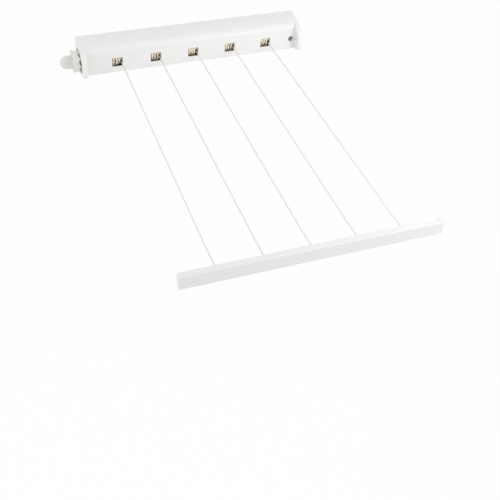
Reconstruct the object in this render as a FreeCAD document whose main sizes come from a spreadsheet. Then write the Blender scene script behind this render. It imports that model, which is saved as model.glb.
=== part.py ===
import FreeCAD, Part
import os
import re
import Sketcher
from FreeCAD import Placement, Rotation, Vector

# A wall-mounted clothes dryer with five lines that pull out of one long housing.
# X runs along the housing, Y into the wall and Z up. The origin lies on the wall face, level
# with the two wall screws and under the middle line. The lines run out along -Y to the pull bar.

doc = FreeCAD.newDocument("five_line_dryer")

SIZES = {
    # housing
    "line_pitch": 70.0,
    "body_depth": 42.0,
    "body_rise": 28.5,
    "body_drop": 28.2,
    "left_reach": 196.2,
    "right_reach": 198.7,
    "left_margin": 21.2,
    "right_margin": 23.7,
    "wall": 2.0,
    "crown_radius": 116.0,
    "front_radius": 12.0,
    "lip_radius": 3.5,
    "fit_gap": 0.15,
    # line windows in the front
    "window_width": 19.2,
    "window_height": 16.85,
    "window_drop": 7.7,
    "window_corner": 1.5,
    # end caps, whose cheeks stand in front of the housing
    "left_cap_width": 8.8,
    "right_cap_width": 7.5,
    "shoulder_lead": 4.0,
    "shoulder_radius": 23.0,
    "cheek_lean": 12.7,
    "chin_radius": 10.2,
    "chin_drop": 13.2,
    "chin_slope": 15.0,
    "edge_round": 1.2,
    "spigot_wall": 1.6,
    "left_spigot": 9.0,
    "right_skin": 2.2,
    # screws through the underside into the caps
    "cap_screw_inset": 5.0,
    "cap_screw_rear": 14.0,
    "cap_screw_front": 8.0,
    "cap_screw_radius": 1.5,
    "cap_screw_head": 2.9,
    "cap_screw_length": 9.0,
    "screw_post": 4.0,
    # wall bracket and its locking screw
    "bracket_gauge": 2.5,
    "ledge_gauge": 1.9,
    "ledge_reach": 2.2,
    "wall_screw_pitch": 300.0,
    "wall_screw_bore": 2.5,
    "access_inset": 7.0,
    "access_drop": 7.0,
    "access_radius": 5.25,
    "tunnel_wall": 1.3,
    "tunnel_gap": 1.75,
    "lock_seat": 9.0,
    "lock_boss": 4.5,
    "lock_shank": 1.9,
    "lock_head": 3.7,
    "lock_head_height": 2.6,
    "lock_head_edge": 0.6,
    "driver_slot": 1.0,
    # drum
    "drum_gap": 0.4,
    "drum_drop": 3.0,
    "shaft_flats": 6.4,
    "shaft_gap": 0.1,
    "running_gap": 0.05,
    "end_play": 0.4,
    "core_flats": 9.0,
    "flange_lip": 0.75,
    "flange_gauge": 1.5,
    "left_journal": 6.0,
    "right_journal": 4.0,
    "bush_gauge": 2.0,
    "bush_collar": 1.2,
    "bush_collar_rise": 0.9,
    "left_boss_reach": 6.2,
    "plug_collar": 8.0,
    "bearing_plate": 3.0,
    # lines
    "line_radius": 1.1,
    "lead_radius": 8.75,
    "lead_offset": 8.2,
    "line_reach": 552.4,
    "knot_radius": 2.8,
    # pull bar
    "bar_height": 22.9,
    "bar_depth": 11.3,
    "bar_wall": 1.8,
    "bar_corner": 2.2,
    "bar_slot": 6.0,
    "bar_gap": 0.7,
    "bar_cap_gauge": 2.2,
    "bar_cap_edge": 0.6,
    # ratchet and knob
    "dish_rim": 3.5,
    "dish_depth": 4.5,
    "dish_gap": 1.3,
    "ring_inner": 11.6,
    "ring_below_rim": 0.4,
    "tooth_height": 2.8,
    "tooth_run": 2.9,
    "tooth_count": 8,
    "tooth_gap_angle": 17.0,
    "tooth_clearance": 0.3,
    "flank_gap": 0.5,
    "flank_gap_angle": 2.0,
    "lock_clearance": 0.5,
    "key_width": 3.0,
    "key_reach": 2.0,
    "hub_inner": 12.4,
    "hub_inset": 2.2,
    "knob_standoff": 10.5,
    "knob_flange_lip": 1.8,
    "knob_flange_gauge": 1.5,
    "boss_radius": 7.5,
    "boss_height": 3.5,
    "stub_radius": 4.0,
    "stub_reach": 7.5,
    "pin_radius": 1.25,
    "wing_half": 12.0,
    "wing_gauge": 4.6,
    "wing_reach": 33.5,
}
LINES = 5

sheet = doc.addObject("Spreadsheet::Sheet", "sizes")
for row, (alias, number) in enumerate(SIZES.items(), start=1):
    sheet.set("A%d" % row, alias.replace("_", " "))
    sheet.set("B%d" % row, str(number))
    sheet.setAlias("B%d" % row, alias)
doc.recompute()

ALIASES = re.compile(r"\b(%s)\b" % "|".join(SIZES))


def link(formula):
    """The formula with each size written as a reference to its cell."""
    return ALIASES.sub(r"sizes.\1", formula)


def value(formula):
    """The number that a formula gives now."""
    return float(sheet.evalExpression(ALIASES.sub(r"\1", formula)))


# ---- places shared by several pieces, as formulas of the sizes ----

FLANGE_RADIUS = "(lead_radius + line_radius + flange_lip)"
DRUM_DEPTH = "(body_depth - wall - drum_gap - %s)" % FLANGE_RADIUS
AXIS_Y = "(-%s)" % DRUM_DEPTH
AXIS_Z = "(-drum_drop)"
LEAD_Z = "(-drum_drop - lead_radius)"
LEFT_FACE = "(-left_reach - left_cap_width)"
DISH_FLOOR = "(-left_reach - left_cap_width + dish_depth)"
RING_TIPS = "(-left_reach - left_cap_width + ring_below_rim)"
RING_ROOTS = "(-left_reach - left_cap_width + ring_below_rim + tooth_height)"
HUB_TIPS = "(-left_reach - left_cap_width + ring_below_rim - lock_clearance)"
HUB_ROOTS = "(-left_reach - left_cap_width + ring_below_rim - lock_clearance - tooth_height)"
KNOB_TRAVEL = "(lock_clearance + tooth_height - tooth_clearance)"
LEFT_BOSS_END = "(-left_reach + left_boss_reach)"
ACCESS_X = "(right_reach - access_inset)"
RIGHT_SPIGOT = "(access_inset + access_radius + tunnel_wall + tunnel_gap + bearing_plate)"
PLATE_IN = "(right_reach - %s)" % RIGHT_SPIGOT
DISH_RADIUS = "(body_drop - drum_drop - dish_rim)"
RING_OUTER = "(%s - dish_gap)" % DISH_RADIUS
HUB_RADIUS = "(%s - hub_inset)" % RING_OUTER
REAR_LINE = "(-bracket_gauge - ledge_gauge - 2 * fit_gap - 0.1)"
BAR_REAR = "(-body_depth - line_reach)"
BAR_LEFT = "(-left_reach + bar_gap)"
BAR_RIGHT = "(right_reach - bar_gap)"


def line_x(number):
    """The place along the housing of line 1 to 5."""
    return "(line_pitch * %d)" % (number - (LINES + 1) // 2)


# ---- helpers for bodies, sketches and features ----


def new_body(label, x="0", y="0", z="0"):
    body = doc.addObject("PartDesign::Body", label)
    body.Label = label
    for axis, formula in (("x", x), ("y", y), ("z", z)):
        body.setExpression(".Placement.Base." + axis, link(formula))
    return body


def origin_item(body, role):
    return next(item for item in body.Origin.OriginFeatures if item.Role == role)


def new_sketch(body, name, plane, offset="0"):
    """A sketch parallel to one origin plane of its body, moved along that plane's normal."""
    sketch = body.newObject("Sketcher::SketchObject", name)
    sketch.AttachmentSupport = (origin_item(body, plane), [""])
    sketch.MapMode = "FlatFace"
    sketch.setExpression(".AttachmentOffset.Base.z", link(offset))
    return sketch


def size_constraint(sketch, formula, *arguments):
    index = sketch.addConstraint(Sketcher.Constraint(*arguments, value(formula)))
    sketch.setExpression("Constraints[%d]" % index, link(formula))


def hold_point(sketch, edge, end, x, y):
    size_constraint(sketch, x, "DistanceX", edge, end)
    size_constraint(sketch, y, "DistanceY", edge, end)


def arc_between(start, end, radius, centre_side):
    """An arc from start to end whose centre lies left or right of the way there."""
    chord = end - start
    across = Vector(-chord.y, chord.x, 0).normalize()
    if centre_side == "right":
        across = -across
    rise = max(radius ** 2 - (chord.Length / 2) ** 2, 0) ** 0.5
    centre = start + chord * 0.5 + across * rise
    first, last = (start, end) if centre_side == "left" else (end, start)
    circle = Part.Circle(centre, Vector(0, 0, 1), radius)
    return Part.ArcOfCircle(circle, circle.parameter(first), circle.parameter(last))


def draw_loop(sketch, corners):
    """A closed outline. A corner is (x, y), reached by a straight run, or (x, y, radius, side),
    reached by an arc whose centre lies on that side."""
    points = [Vector(value(corner[0]), value(corner[1]), 0) for corner in corners]
    ends = []
    for index, corner in enumerate(corners):
        start, end = points[index - 1], points[index]
        if len(corner) == 2:
            edge = sketch.addGeometry(Part.LineSegment(start, end), False)
            ends.append((edge, 1, 2))
        else:
            edge = sketch.addGeometry(arc_between(start, end, value(corner[2]), corner[3]), False)
            size_constraint(sketch, corner[2], "Radius", edge)
            ends.append((edge, 1, 2) if corner[3] == "left" else (edge, 2, 1))
    for index, (edge, first, last) in enumerate(ends):
        before = ends[index - 1]
        sketch.addConstraint(Sketcher.Constraint("Coincident", before[0], before[2], edge, first))
        hold_point(sketch, edge, last, corners[index][0], corners[index][1])


def draw_circle(sketch, x, y, radius):
    circle = Part.Circle(Vector(value(x), value(y), 0), Vector(0, 0, 1), value(radius))
    edge = sketch.addGeometry(circle, False)
    hold_point(sketch, edge, 3, x, y)
    size_constraint(sketch, radius, "Radius", edge)


def box_corners(x1, y1, x2, y2):
    return [(x1, y1), (x2, y1), (x2, y2), (x1, y2)]


def rounded_box(x1, y1, x2, y2, radius):
    """A rectangle from its low corner to its high corner, with round corners."""
    return [
        ("%s - %s" % (x2, radius), y1),
        (x2, "%s + %s" % (y1, radius), radius, "left"),
        (x2, "%s - %s" % (y2, radius)),
        ("%s - %s" % (x2, radius), y2, radius, "left"),
        ("%s + %s" % (x1, radius), y2),
        (x1, "%s - %s" % (y2, radius), radius, "left"),
        (x1, "%s + %s" % (y1, radius)),
        ("%s + %s" % (x1, radius), y1, radius, "left"),
    ]


def extrude(body, kind, sketch, length, reverse=False):
    """A pad or pocket of the given length. Reverse turns its direction round."""
    feature = body.newObject("PartDesign::" + kind, sketch.Name + "_" + kind.lower())
    feature.Profile = sketch
    feature.Reversed = reverse
    feature.setExpression("Length", link(length))
    return feature


def cut_through(body, sketch):
    """A pocket right through the body, both ways from the sketch."""
    feature = body.newObject("PartDesign::Pocket", sketch.Name + "_pocket")
    feature.Profile = sketch
    feature.SideType = "Two sides"
    feature.Type = "ThroughAll"
    feature.Type2 = "ThroughAll"
    return feature


def turn(body, kind, sketch, axis="H_Axis", angle="360"):
    """A revolution or groove about the sketch's own axis."""
    feature = body.newObject("PartDesign::" + kind, sketch.Name + "_" + kind.lower())
    feature.Profile = sketch
    feature.ReferenceAxis = (sketch, [axis])
    feature.setExpression("Angle", link(angle))
    return feature


def repeat_round(body, features, count):
    """The features again at equal angles round the body's own X axis."""
    pattern = body.newObject("PartDesign::PolarPattern", features[0].Name + "_round")
    pattern.Originals = features
    pattern.Axis = (origin_item(body, "X_Axis"), [""])
    pattern.Angle = 360
    pattern.setExpression("Occurrences", link(count))
    body.Tip = pattern
    return pattern


def repeat_along(body, feature, axis, length, count):
    """The feature again in a row, with the given distance from the first to the last."""
    pattern = body.newObject("PartDesign::LinearPattern", feature.Name + "_row")
    pattern.Originals = [feature]
    pattern.Direction = (origin_item(body, axis), [""])
    pattern.setExpression("Length", link(length))
    pattern.Occurrences = count
    body.Tip = pattern
    return pattern


def soften_face(body, kind, feature, place, size):
    """A fillet or chamfer round the flat face that lies at the given place along X."""
    doc.recompute()
    names = []
    for index, face in enumerate(feature.Shape.Faces, start=1):
        if max(abs(face.BoundBox.XMin - place), abs(face.BoundBox.XMax - place)) < 1e-3:
            names.append("Face%d" % index)
    edge = body.newObject("PartDesign::" + kind, feature.Name + "_edge")
    edge.Base = (feature, names)
    edge.setExpression("Radius" if kind == "Fillet" else "Size", link(size))
    return edge


# ---- outlines across the housing: sketch x is Y, sketch y is Z ----

CROWN_Z = "(body_rise - crown_radius)"
FRONT_C_Y = "(-body_depth + front_radius)"
FRONT_C_Z = "(%s + sqrt((crown_radius - front_radius)^2 - (body_depth - front_radius)^2))" % CROWN_Z


def housing_path(inset, lip=None):
    """The housing's outline from the top of its front to the bottom, set in by the inset. Its
    lower front edge stays concentric unless it is given a radius of its own."""
    crown = "(crown_radius - %s)" % inset
    front = "(front_radius - %s)" % inset
    lip = lip or "(lip_radius - %s)" % inset
    reach = "(crown_radius - front_radius)"
    meet_y = "(%s / %s * %s)" % (FRONT_C_Y, reach, crown)
    meet_z = "(%s + (%s - %s) / %s * %s)" % (CROWN_Z, FRONT_C_Z, CROWN_Z, reach, crown)
    front_y = "(-body_depth + %s)" % inset
    under_z = "(-body_drop + %s)" % inset
    return [
        (meet_y, meet_z, crown, "left"),
        (front_y, FRONT_C_Z, front, "left"),
        (front_y, "(%s + %s)" % (under_z, lip)),
        ("(%s + %s)" % (front_y, lip), under_z, lip, "left"),
    ]


def housing_top(inset, y):
    """The height of the set-in outline at a place y on its crown."""
    return "(%s + sqrt((crown_radius - %s)^2 - %s^2))" % (CROWN_Z, inset, y)


def housing_loop(inset, rear, lip=None):
    """The set-in outline closed by a flat back at the place rear."""
    return housing_path(inset, lip) + [
        (rear, "(-body_drop + %s)" % inset),
        (rear, housing_top(inset, rear)),
    ]


def shell_loop():
    """The C-shaped section of the housing, open towards the wall."""
    outer = housing_path("0")
    inner = housing_path("wall")
    inner_back = [
        ("(-body_depth + lip_radius)", "(-body_drop + wall)"),
        ("(-body_depth + wall)", "(-body_drop + lip_radius)", "(lip_radius - wall)", "right"),
        inner[1][:2],
        inner[0][:2] + (inner[1][2], "right"),
        ("0", housing_top("wall", "0"), inner[0][2], "right"),
    ]
    rear = [("0", "-body_drop"), ("0", "-body_drop + wall")]
    return outer + rear + inner_back + [("0", "body_rise")]


def cheek_loop():
    """The outline of an end cap: the housing's crown carried forward into a rounded shoulder,
    a front that leans out, a round chin and an underside that slopes back to the housing."""
    start = "(body_depth + shoulder_lead)"
    start_z = housing_top("0", start)
    shoulder_y = "(-%s * (1 - shoulder_radius / crown_radius))" % start
    shoulder_z = "(%s + (%s - %s) * (1 - shoulder_radius / crown_radius))" % (CROWN_Z, start_z, CROWN_Z)
    front_y = "(%s - shoulder_radius * cos(cheek_lean))" % shoulder_y
    front_z = "(%s + shoulder_radius * sin(cheek_lean))" % shoulder_z
    chin_z = "(-chin_drop)"
    chin_y = "(%s - (shoulder_radius - chin_radius - (%s - %s) * sin(cheek_lean)) / cos(cheek_lean))" % (
        shoulder_y, chin_z, shoulder_z)
    low_y = "(%s - chin_radius * cos(cheek_lean))" % chin_y
    low_z = "(%s + chin_radius * sin(cheek_lean))" % chin_z
    under_y = "(%s - chin_radius * sin(chin_slope))" % chin_y
    under_z = "(%s - chin_radius * cos(chin_slope))" % chin_z
    heel_y = "(%s + (%s + body_drop) / tan(chin_slope))" % (under_y, under_z)
    return [
        ("-" + start, start_z, "crown_radius", "left"),
        (front_y, front_z, "shoulder_radius", "left"),
        (low_y, low_z),
        (under_y, under_z, "chin_radius", "left"),
        (heel_y, "-body_drop"),
        ("0", "-body_drop"),
        ("0", "body_rise"),
    ]


CAP_SCREW_X = {
    "left": "(-left_reach + cap_screw_inset)",
    "right": "(right_reach - cap_screw_inset)",
}
CAP_SCREW_Y = ("(-cap_screw_rear)", "(-body_depth + cap_screw_front)")


# ---- housing ----


def make_body_shell():
    body = new_body("body_shell")
    section = new_sketch(body, "shell_section", "YZ_Plane", "-left_reach")
    draw_loop(section, shell_loop())
    extrude(body, "Pad", section, "left_reach + right_reach")
    ledges = new_sketch(body, "shell_ledges", "YZ_Plane", "-left_reach")
    ledge_front = "(-bracket_gauge - 0.1 - ledge_gauge)"
    ledge_rear = "(-bracket_gauge - 0.1)"
    draw_loop(ledges, box_corners(ledge_front, "body_rise - wall - ledge_reach", ledge_rear, "body_rise - wall / 2"))
    draw_loop(ledges, box_corners(ledge_front, "-body_drop + wall / 2", ledge_rear, "-body_drop + wall + ledge_reach"))
    extrude(body, "Pad", ledges, "left_reach + right_reach")
    window = new_sketch(body, "line_window", "XZ_Plane", "body_depth + 1")
    first = line_x(1)
    draw_loop(window, rounded_box(
        "(%s - window_width / 2)" % first, "(-window_drop - window_height / 2)",
        "(%s + window_width / 2)" % first, "(-window_drop + window_height / 2)", "window_corner"))
    cut = extrude(body, "Pocket", window, "wall + 2")
    repeat_along(body, cut, "X_Axis", "line_pitch * %d" % (LINES - 1), LINES)
    access = new_sketch(body, "shell_access", "XZ_Plane", "body_depth + 1")
    draw_circle(access, ACCESS_X, "-access_drop", "access_radius")
    extrude(body, "Pocket", access, "wall + 2")
    for side, x in CAP_SCREW_X.items():
        for number, y in enumerate(CAP_SCREW_Y, start=1):
            hole = new_sketch(body, "shell_screw_%s_%d" % (side, number), "XY_Plane", "-body_drop - 1")
            draw_circle(hole, x, y, "cap_screw_radius + fit_gap")
            extrude(body, "Pocket", hole, "wall + 2", reverse=True)
            sink = new_sketch(body, "shell_sink_%s_%d" % (side, number), "XY_Plane", "-body_drop")
            draw_circle(sink, x, y, "cap_screw_head + fit_gap")
            feature = extrude(body, "Pocket", sink, "cap_screw_head - cap_screw_radius", reverse=True)
            feature.TaperAngle = -45


def make_wall_bracket():
    body = new_body("wall_bracket")
    plate = new_sketch(body, "bracket_plate", "XZ_Plane")
    draw_loop(plate, rounded_box(
        "(-left_reach + 2)", "(-body_drop + wall + fit_gap)",
        "(right_reach - 2)", "(body_rise - wall - 2 * fit_gap)", "wall"))
    for x in ("wall_screw_pitch / 2", "-wall_screw_pitch / 2"):
        draw_circle(plate, x, "0", "wall_screw_bore")
    extrude(body, "Pad", plate, "bracket_gauge")
    ribs = new_sketch(body, "bracket_ribs", "XZ_Plane", "bracket_gauge")
    for low in ("body_rise / 2", "-body_drop / 2 - wall"):
        draw_loop(ribs, box_corners("(-left_reach + 25)", low, "(right_reach - 25)", "(%s + wall)" % low))
    extrude(body, "Pad", ribs, "ledge_reach")
    boss = new_sketch(body, "bracket_boss", "XZ_Plane", "bracket_gauge")
    draw_circle(boss, ACCESS_X, "-access_drop", "lock_boss")
    extrude(body, "Pad", boss, "lock_seat - 2 - bracket_gauge - fit_gap")
    pilot = new_sketch(body, "bracket_pilot", "XZ_Plane", "lock_seat")
    draw_circle(pilot, ACCESS_X, "-access_drop", "lock_shank + running_gap")
    extrude(body, "Pocket", pilot, "lock_seat - 1")


def add_screw_posts(body, side):
    """Posts under the cap's spigot that take the screws from below, with their pilot holes."""
    x = CAP_SCREW_X[side]
    rise = "(cap_screw_length + 1)"
    for number, y in enumerate(CAP_SCREW_Y, start=1):
        post = new_sketch(body, "%s_post_%d" % (side, number), "XY_Plane", "-body_drop + wall + fit_gap")
        draw_loop(post, box_corners(
            "(%s - screw_post)" % x, "(%s - screw_post)" % y, "(%s + screw_post)" % x, "(%s + screw_post)" % y))
        extrude(body, "Pad", post, rise)
        pilot = new_sketch(body, "%s_pilot_%d" % (side, number), "XY_Plane", "-body_drop")
        draw_circle(pilot, x, y, "cap_screw_radius + running_gap")
        extrude(body, "Pocket", pilot, "cap_screw_length + 0.5", reverse=True)


def make_left_end_cap():
    body = new_body("left_end_cap")
    cheek = new_sketch(body, "left_cheek", "YZ_Plane", LEFT_FACE)
    draw_loop(cheek, cheek_loop())
    plate = extrude(body, "Pad", cheek, "left_cap_width")
    soften_face(body, "Fillet", plate, value(LEFT_FACE), "edge_round")
    spigot = new_sketch(body, "left_spigot_ring", "YZ_Plane", "-left_reach")
    draw_loop(spigot, housing_loop("(wall + fit_gap)", REAR_LINE))
    draw_loop(spigot, housing_loop("(wall + fit_gap + spigot_wall)", "(%s - spigot_wall)" % REAR_LINE, "1"))
    extrude(body, "Pad", spigot, "left_spigot")
    boss = new_sketch(body, "left_bearing_boss", "YZ_Plane", "-left_reach")
    draw_circle(boss, AXIS_Y, AXIS_Z, "body_depth - wall - fit_gap - %s" % DRUM_DEPTH)
    extrude(body, "Pad", boss, "%s + left_reach" % LEFT_BOSS_END)
    add_screw_posts(body, "left")
    dish = new_sketch(body, "left_dish", "YZ_Plane", LEFT_FACE)
    draw_circle(dish, AXIS_Y, AXIS_Z, DISH_RADIUS)
    extrude(body, "Pocket", dish, "dish_depth", reverse=True)
    bore = new_sketch(body, "left_bush_bore", "YZ_Plane", "-left_reach")
    draw_circle(bore, AXIS_Y, AXIS_Z, "left_journal + running_gap + bush_gauge")
    cut_through(body, bore)
    sockets = new_sketch(body, "ring_key_sockets", "YZ_Plane", DISH_FLOOR)
    for y in KEY_PLACES:
        draw_loop(sockets, key_corners("(%s + %s)" % (AXIS_Y, y), AXIS_Z, "(key_width / 2 + running_gap)"))
    extrude(body, "Pocket", sockets, "key_reach + 2 * running_gap", reverse=True)


KEY_CIRCLE = "((ring_inner + %s) / 2)" % RING_OUTER
KEY_PLACES = (KEY_CIRCLE, "(-%s)" % KEY_CIRCLE)


def key_corners(y, z, half):
    """A square about the place (y, z)."""
    return box_corners("%s - %s" % (y, half), "%s - %s" % (z, half), "%s + %s" % (y, half), "%s + %s" % (z, half))


def make_right_end_cap():
    body = new_body("right_end_cap")
    cheek = new_sketch(body, "right_cheek", "YZ_Plane", "right_reach")
    draw_loop(cheek, cheek_loop())
    plate = extrude(body, "Pad", cheek, "right_cap_width")
    soften_face(body, "Fillet", plate, value("right_reach + right_cap_width"), "edge_round")
    spigot = new_sketch(body, "right_spigot_block", "YZ_Plane", PLATE_IN)
    draw_loop(spigot, housing_loop("(wall + fit_gap)", REAR_LINE))
    extrude(body, "Pad", spigot, RIGHT_SPIGOT)
    cavity = new_sketch(body, "right_cavity", "YZ_Plane", PLATE_IN)
    draw_loop(cavity, housing_loop("(wall + fit_gap + spigot_wall)", "(%s - spigot_wall)" % REAR_LINE, "1"))
    extrude(body, "Pocket", cavity, "%s + right_cap_width - right_skin" % RIGHT_SPIGOT, reverse=True)
    tunnel = new_sketch(body, "access_tunnel", "XZ_Plane", "lock_seat - 2")
    draw_circle(tunnel, ACCESS_X, "-access_drop", "access_radius + tunnel_wall")
    extrude(body, "Pad", tunnel, "body_depth - wall - fit_gap - lock_seat + 2")
    add_screw_posts(body, "right")
    access = new_sketch(body, "access_bore", "XZ_Plane", "lock_seat")
    draw_circle(access, ACCESS_X, "-access_drop", "access_radius")
    extrude(body, "Pocket", access, "body_depth", reverse=True)
    relief = new_sketch(body, "bracket_boss_relief", "XZ_Plane", "0")
    draw_circle(relief, ACCESS_X, "-access_drop", "lock_boss + fit_gap")
    extrude(body, "Pocket", relief, "lock_seat - 2", reverse=True)
    screw = new_sketch(body, "lock_screw_hole", "XZ_Plane", "lock_seat + 1")
    draw_circle(screw, ACCESS_X, "-access_drop", "lock_shank + fit_gap")
    extrude(body, "Pocket", screw, "lock_seat")


def make_bearing_plate():
    """The web that closes the right spigot's mouth and carries the right bush."""
    body = new_body("right_bearing_plate")
    inset = "(wall + fit_gap + spigot_wall + fit_gap)"
    web = new_sketch(body, "bearing_web", "YZ_Plane", PLATE_IN)
    draw_loop(web, housing_loop(inset, "(%s - spigot_wall - fit_gap)" % REAR_LINE, "1"))
    draw_circle(web, AXIS_Y, AXIS_Z, "right_journal + running_gap + bush_gauge")
    extrude(body, "Pad", web, "bearing_plate")


def make_cap_screws():
    screws = []
    for side, x in CAP_SCREW_X.items():
        for number, y in enumerate(CAP_SCREW_Y, start=1):
            name = "%s_%d" % (side, number)
            shank = doc.addObject("Part::Cylinder", "screw_shank_" + name)
            shank.setExpression("Radius", link("cap_screw_radius"))
            shank.setExpression("Height", link("cap_screw_length"))
            head = doc.addObject("Part::Cone", "screw_head_" + name)
            head.setExpression("Radius1", link("cap_screw_head"))
            head.setExpression("Radius2", link("cap_screw_radius"))
            head.setExpression("Height", link("cap_screw_head - cap_screw_radius"))
            screw = doc.addObject("Part::Fuse", "screw_" + name)
            screw.Base = shank
            screw.Tool = head
            for axis, formula in (("x", x), ("y", y), ("z", "-body_drop")):
                screw.setExpression(".Placement.Base." + axis, link(formula))
            screws.append(screw)
    group = doc.addObject("Part::Compound", "cap_screws")
    group.Links = screws
    group.Label = "cap_screws"


def make_locking_screw():
    body = new_body("locking_screw", ACCESS_X, "-lock_seat", "-access_drop")
    profile = new_sketch(body, "lock_screw_profile", "XY_Plane")
    draw_loop(profile, [
        ("0", "-lock_head_height"),
        ("lock_head - lock_head_edge", "-lock_head_height"),
        ("lock_head", "-lock_head_height + lock_head_edge"),
        ("lock_head", "0"),
        ("lock_shank", "0"),
        ("lock_shank", "lock_seat - 1.5"),
        ("0", "lock_seat - 1.2"),
    ])
    turn(body, "Revolution", profile, "V_Axis")
    slot = new_sketch(body, "lock_screw_slot", "XZ_Plane", "lock_head_height")
    draw_loop(slot, box_corners("-lock_head - 1", "-driver_slot / 2", "lock_head + 1", "driver_slot / 2"))
    extrude(body, "Pocket", slot, "lock_head_height / 2")


# ---- drum: every piece is turned about its own X axis, which lies on the drum's axis ----


def drum_body(label, x="0"):
    return new_body(label, x, AXIS_Y, AXIS_Z)


def turned(body, name, corners):
    profile = new_sketch(body, name, "XY_Plane")
    draw_loop(profile, corners)
    return turn(body, "Revolution", profile)


def hexagon(flats):
    """A hexagon about the sketch's origin with the given distance across its flats."""
    corner = "(%s / 2 / cos(30))" % flats
    return [("%s * cos(%d)" % (corner, 60 * k), "%s * sin(%d)" % (corner, 60 * k)) for k in range(6)]


def cut_hexagon(body, name, place, depth, reverse):
    socket = new_sketch(body, name, "YZ_Plane", place)
    draw_loop(socket, hexagon("(shaft_flats + 2 * shaft_gap)"))
    return extrude(body, "Pocket", socket, depth, reverse)


SHAFT_LEFT = "(%s + bush_collar + end_play)" % LEFT_BOSS_END
DRUM_LEFT = "(-left_reach + left_margin)"
DRUM_RIGHT = "(right_reach - right_margin)"
RIGHT_BUSH_IN = "(%s - bush_collar)" % PLATE_IN


def make_left_bush():
    body = drum_body("left_bush")
    bore = "(left_journal + running_gap)"
    seat = "(left_journal + running_gap + bush_gauge - running_gap / 2)"
    turned(body, "left_bush_profile", [
        (DISH_FLOOR, bore),
        ("%s + bush_collar" % LEFT_BOSS_END, bore),
        ("%s + bush_collar" % LEFT_BOSS_END, "%s + bush_collar_rise" % seat),
        (LEFT_BOSS_END, "%s + bush_collar_rise" % seat),
        (LEFT_BOSS_END, seat),
        (DISH_FLOOR, seat),
    ])


def make_right_bush():
    body = drum_body("right_bush")
    bore = "(right_journal + running_gap)"
    seat = "(right_journal + running_gap + bush_gauge - running_gap / 2)"
    far = "(%s + bearing_plate)" % PLATE_IN
    turned(body, "right_bush_profile", [
        (RIGHT_BUSH_IN, bore),
        (far, bore),
        (far, seat),
        (PLATE_IN, seat),
        (PLATE_IN, "%s + bush_collar_rise" % seat),
        (RIGHT_BUSH_IN, "%s + bush_collar_rise" % seat),
    ])


def make_drum_shaft():
    body = drum_body("drum_shaft")
    section = new_sketch(body, "shaft_section", "YZ_Plane", SHAFT_LEFT)
    draw_loop(section, hexagon("shaft_flats"))
    extrude(body, "Pad", section, "%s - %s - end_play - running_gap" % (RIGHT_BUSH_IN, SHAFT_LEFT))


STUB_END = "(%s - stub_reach)" % LEFT_FACE
PIN_X = "(%s - 2.2)" % HUB_ROOTS


def make_left_drum_plug():
    """The journal that runs in the left bush. Its stub carries the knob, and a slot lets the
    knob's cross pin slide along it by the travel of the lock."""
    body = drum_body("left_drum_plug")
    shoulder = "(%s - 1)" % DISH_FLOOR
    turned(body, "left_plug_profile", [
        (STUB_END, "0"),
        ("%s - running_gap" % DRUM_LEFT, "0"),
        ("%s - running_gap" % DRUM_LEFT, "plug_collar"),
        (SHAFT_LEFT, "plug_collar"),
        (SHAFT_LEFT, "left_journal"),
        (shoulder, "left_journal"),
        (shoulder, "stub_radius"),
        ("%s + 0.6" % STUB_END, "stub_radius"),
        (STUB_END, "stub_radius - 0.6"),
    ])
    cut_hexagon(body, "left_plug_socket", "(%s - running_gap)" % SHAFT_LEFT,
                "%s - %s + running_gap" % (DRUM_LEFT, SHAFT_LEFT), True)
    slot = new_sketch(body, "pin_slot", "XY_Plane")
    slot_half = "(pin_radius + 2 * running_gap)"
    draw_loop(slot, box_corners(
        "(%s - %s)" % (PIN_X, slot_half), "-" + slot_half,
        "(%s + %s + %s)" % (PIN_X, KNOB_TRAVEL, slot_half), slot_half))
    cut_through(body, slot)


def make_right_drum_plug():
    body = drum_body("right_drum_plug")
    step = "(%s - end_play)" % RIGHT_BUSH_IN
    turned(body, "right_plug_profile", [
        ("%s + running_gap" % DRUM_RIGHT, "0"),
        ("%s + bearing_plate" % PLATE_IN, "0"),
        ("%s + bearing_plate" % PLATE_IN, "right_journal"),
        (step, "right_journal"),
        (step, "plug_collar"),
        ("%s + running_gap" % DRUM_RIGHT, "plug_collar"),
    ])
    cut_hexagon(body, "right_plug_socket", DRUM_RIGHT, "%s - %s" % (step, DRUM_RIGHT), True)


def spool_ends(number):
    """Both ends of a line's spool, from its line: midway to the next line or at the drum's end."""
    middle = line_x(number)
    left = DRUM_LEFT if number == 1 else "(%s - line_pitch / 2)" % middle
    right = DRUM_RIGHT if number == LINES else "(%s + line_pitch / 2)" % middle
    return "(%s - %s + running_gap)" % (left, middle), "(%s - %s - running_gap)" % (right, middle)


def make_line_spool(number):
    """One line's spool: two thin flanges on a hexagonal sleeve that slides over the shaft."""
    body = drum_body("line_spool_%d" % number, line_x(number))
    left, right = spool_ends(number)
    sleeve = new_sketch(body, "spool_%d_sleeve" % number, "YZ_Plane", left)
    draw_loop(sleeve, hexagon("core_flats"))
    extrude(body, "Pad", sleeve, "%s - %s" % (right, left))
    for side, place in (("left", left), ("right", "(%s - flange_gauge)" % right)):
        flange = new_sketch(body, "spool_%d_%s_flange" % (number, side), "YZ_Plane", place)
        draw_circle(flange, "0", "0", FLANGE_RADIUS)
        extrude(body, "Pad", flange, "flange_gauge")
    bore = new_sketch(body, "spool_%d_bore" % number, "YZ_Plane")
    draw_loop(bore, hexagon("(shaft_flats + 2 * shaft_gap)"))
    cut_through(body, bore)


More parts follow.
